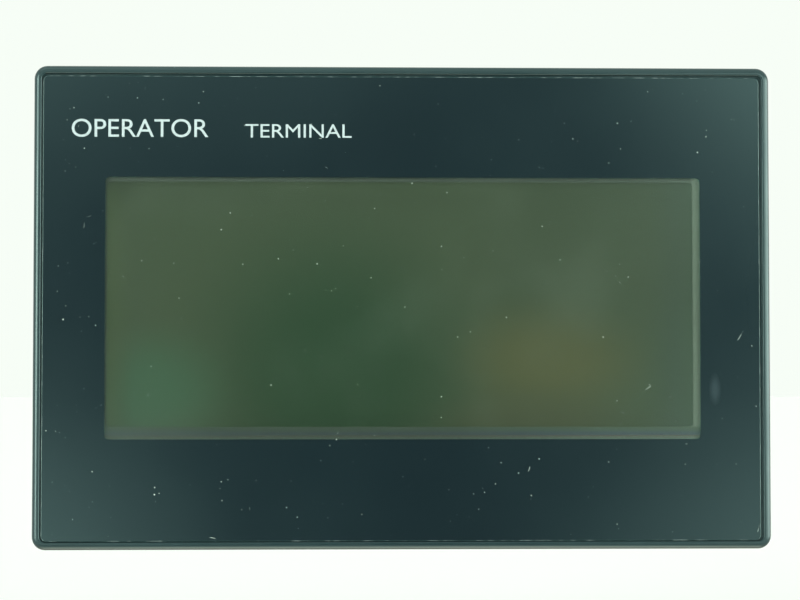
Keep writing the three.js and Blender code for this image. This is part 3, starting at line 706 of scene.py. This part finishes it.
case_black, nodes, shader, where = new_finish("textured_black_case", 0.55)
sparks = noise(nodes, where, 0.28, 3, 0.7)
flow = noise(nodes, where, 26, 3)
base = blend_colours(nodes, flow, colour("1c1f20"), colour("25292a"))
base = blend_colours(nodes, ramp_between(nodes, sparks, 0.55, 0.75, 0.0, 0.35), base, colour("3a3f40"))
nodes.links.new(base, shader.inputs["Base Color"])
nodes.links.new(ramp_between(nodes, flow, 0.3, 0.7, 0.48, 0.62), shader.inputs["Roughness"])
emboss(nodes, shader, sparks, 0.03)
remake("rear_case", "back_case", "panel", "case_plastic", case_black, 0.24, rear_only=True)

zinc, nodes, shader, where = new_finish("zinc_plated_steel", 0.3, Metallic=1.0)
base = blend_colours(nodes, noise(nodes, where, 1.1, 4), colour("9fa4a6"), colour("c9cdce"))
nodes.links.new(base, shader.inputs["Base Color"])
gloss = ramp_between(nodes, noise(nodes, where, 0.6, 4), 0.3, 0.7, 0.22, 0.42)
nodes.links.new(gloss, shader.inputs["Roughness"])
emboss(nodes, shader, noise(nodes, where, 0.5, 3), 0.004)
for i in range(4):
    remake(f"case_screw_{i + 1}", f"cross_screw_{i + 1}", "panel", "steel", zinc, 0.12)


# ---- Rating label -----------------------------------------------------------------------------------
# Satin silver polyester label in a shallow recess, with plain printed rules and no wording.

label_film, nodes, shader, where = new_finish("satin_silver_label", 0.36, Metallic=0.35)
brushed = mapped(nodes, where, Scale=(0.04, 1, 1))
base = blend_colours(nodes, noise(nodes, brushed, 0.5, 3), colour("b6babb"), colour("d3d6d6"))
nodes.links.new(base, shader.inputs["Base Color"])
repaint(label_film, "rating_label")

black_ink, nodes, shader, where = new_finish("black_label_print", 0.5)
base = blend_colours(nodes, noise(nodes, where, 0.6, 3), colour("17191a"), colour("2e3132"))
nodes.links.new(base, shader.inputs["Base Color"])
rules = [(23, 22.6, 39, 0.18), (23, 1.4, 39, 0.18), (3.6, 12, 0.18, 21.4), (42.4, 12, 0.18, 21.4),
         (23, 17.6, 39, 0.14), (29, 12, 0.14, 11.4), (23, 6.4, 39, 0.14)]
bars = [(38 - 0.5 * w, z, w, 0.9) for z, w in [(20.3, 14), (15.6, 6.5), (13.2, 7), (10.8, 5.5), (8.4, 6.8)]]
bars += [(26.5 - 0.5 * w, z, w, 0.7) for z, w in [(15.6, 12), (13.2, 17), (10.8, 9), (8.4, 14)]]


def printed_bars(name, bars, depth, thickness, body, slot, finish):
    """Thin upright printed bars, each given by its middle x and z, its width and its height."""
    bars = np.asarray(bars, float)
    centres = np.stack([bars[:, 0], np.full(len(bars), depth), bars[:, 1]], -1)
    sizes = np.stack([bars[:, 2], np.full(len(bars), thickness), bars[:, 3]], -1)
    small_blocks(name, centres, sizes, body, slot, finish)


printed_bars("label_rules", rules + bars, 21.955, 0.01, "panel", "label_silver", black_ink)


# ---- Option lid and connector -----------------------------------------------------------------------
# A small moulded door over the option bay. It turns on two pins moulded in line with its top edge and is
# held shut by a tongue; a nail notch in the case opens it. The connector stands on the board below.

remake("option_lid", "bay_lid", "option_lid", "case_plastic", case_black, 0.18, rear_only=True)
grip = np.stack([np.full(3, -23.0), np.full(3, 21.955), np.array([3.4, 4.4, 5.4])], -1)
small_blocks("lid_grip_lines", grip, (9.0, 0.07, 0.45), "option_lid", "case_plastic", case_black)
pins = np.stack([np.linspace(-33.5, -12.5, 20), np.full(20, 11.0), np.full(20, 12.0)], -1)
for row, offset in (("lower", -0.55), ("upper", 0.55)):
    shifted = pins + np.array([0, 0, offset])
    small_blocks(f"option_contacts_{row}", shifted, (0.45, 1.9, 0.22), "panel", "tin", tinned)


# ---- Data socket ------------------------------------------------------------------------------------
# Round shielded socket that looks out of the bottom of the case: black housing, tinned shield, and an
# insert with six contact holes and a key.

remake("socket_housing", "round_socket_housing", "panel", "chip_black", epoxy, 0.2)
remake("socket_shield", "round_socket_shield", "panel", "tin", tinned, 0.1)
remake("socket_core", "round_socket_insert", "panel", "chip_black", epoxy, 0.12)


# ---- Plug-in terminals ------------------------------------------------------------------------------
# Green glass-filled nylon headers on the board, with square tinned pins, and plugs that slide onto them
# from below. In each pole a slotted steel screw lifts a tinned cage that grips the wire. The poles are
# numbered, or marked plus, minus and earth.

green_nylon, nodes, shader, where = new_finish("green_glass_filled_nylon", 0.4)
fibres = noise(nodes, mapped(nodes, where, Scale=(0.25, 1, 1)), 0.6, 4)
base = blend_colours(nodes, fibres, colour("1f7a41"), colour("34934f"))
paler = ramp_between(nodes, noise(nodes, where, 6, 3), 0.5, 0.8, 0.0, 0.5)
base = blend_colours(nodes, paler, base, colour("2a7f47"))
nodes.links.new(base, shader.inputs["Base Color"])
emboss(nodes, shader, fibres, 0.012)

terminals = [("comm", 9, 3.81, 20.6), ("power", 3, 5.08, -10.5)]
for kind, poles, pitch, middle in terminals:
    plug = f"{kind}_plug"
    remake(f"{kind}_header", f"{kind}_socket", "panel", "terminal_green", green_nylon, 0.2)
    remake(plug, f"{kind}_connector", plug, "terminal_green", green_nylon, 0.16)
    columns = middle + (np.arange(poles) - (poles - 1) / 2) * pitch
    fixed = np.ones(poles)
    pin_places = np.stack([columns, 13.0 * fixed, -19.6 * fixed], -1)
    small_blocks(f"{kind}_header_pins", pin_places, (0.9, 0.9, 6.2), "panel", "tin", tinned)
    bar_places = np.stack([columns, 15.12 * fixed, -27.9 * fixed], -1)
    small_blocks(f"{kind}_contact_bars", bar_places, (1.3, 0.4, 3.4), plug, "tin", tinned)
    for i in range(1, poles + 1):
        remake(f"{kind}_screw_{i}", f"{kind}_clamp_screw_{i}", f"{kind}_screw_{i}", "steel", zinc, 0.1)
        remake(f"{kind}_cage_{i}", f"{kind}_clamp_cage_{i}", f"{kind}_cage_{i}", "tin", tinned, 0.08)
        mark = str(i) if kind == "comm" else "+-"[i - 1:i]
        if mark:
            left = columns[i - 1] + 0.45
            lettering(f"{kind}_mark_{i}", mark, 1.25, left, -25.7, 21.403, plug, "terminal_green", white_ink,
                      rear=True, bold=0.01)
earth = np.array([(0.0, 0.35, 0.12, 0.5), (0.0, 0.1, 1.0, 0.12), (0.0, -0.15, 0.64, 0.12),
                  (0.0, -0.4, 0.28, 0.12)])
earth[:, :2] += (columns[2], -25.05)
printed_bars("power_earth_mark", earth, 21.4, 0.02, "power_plug", "terminal_green", white_ink)
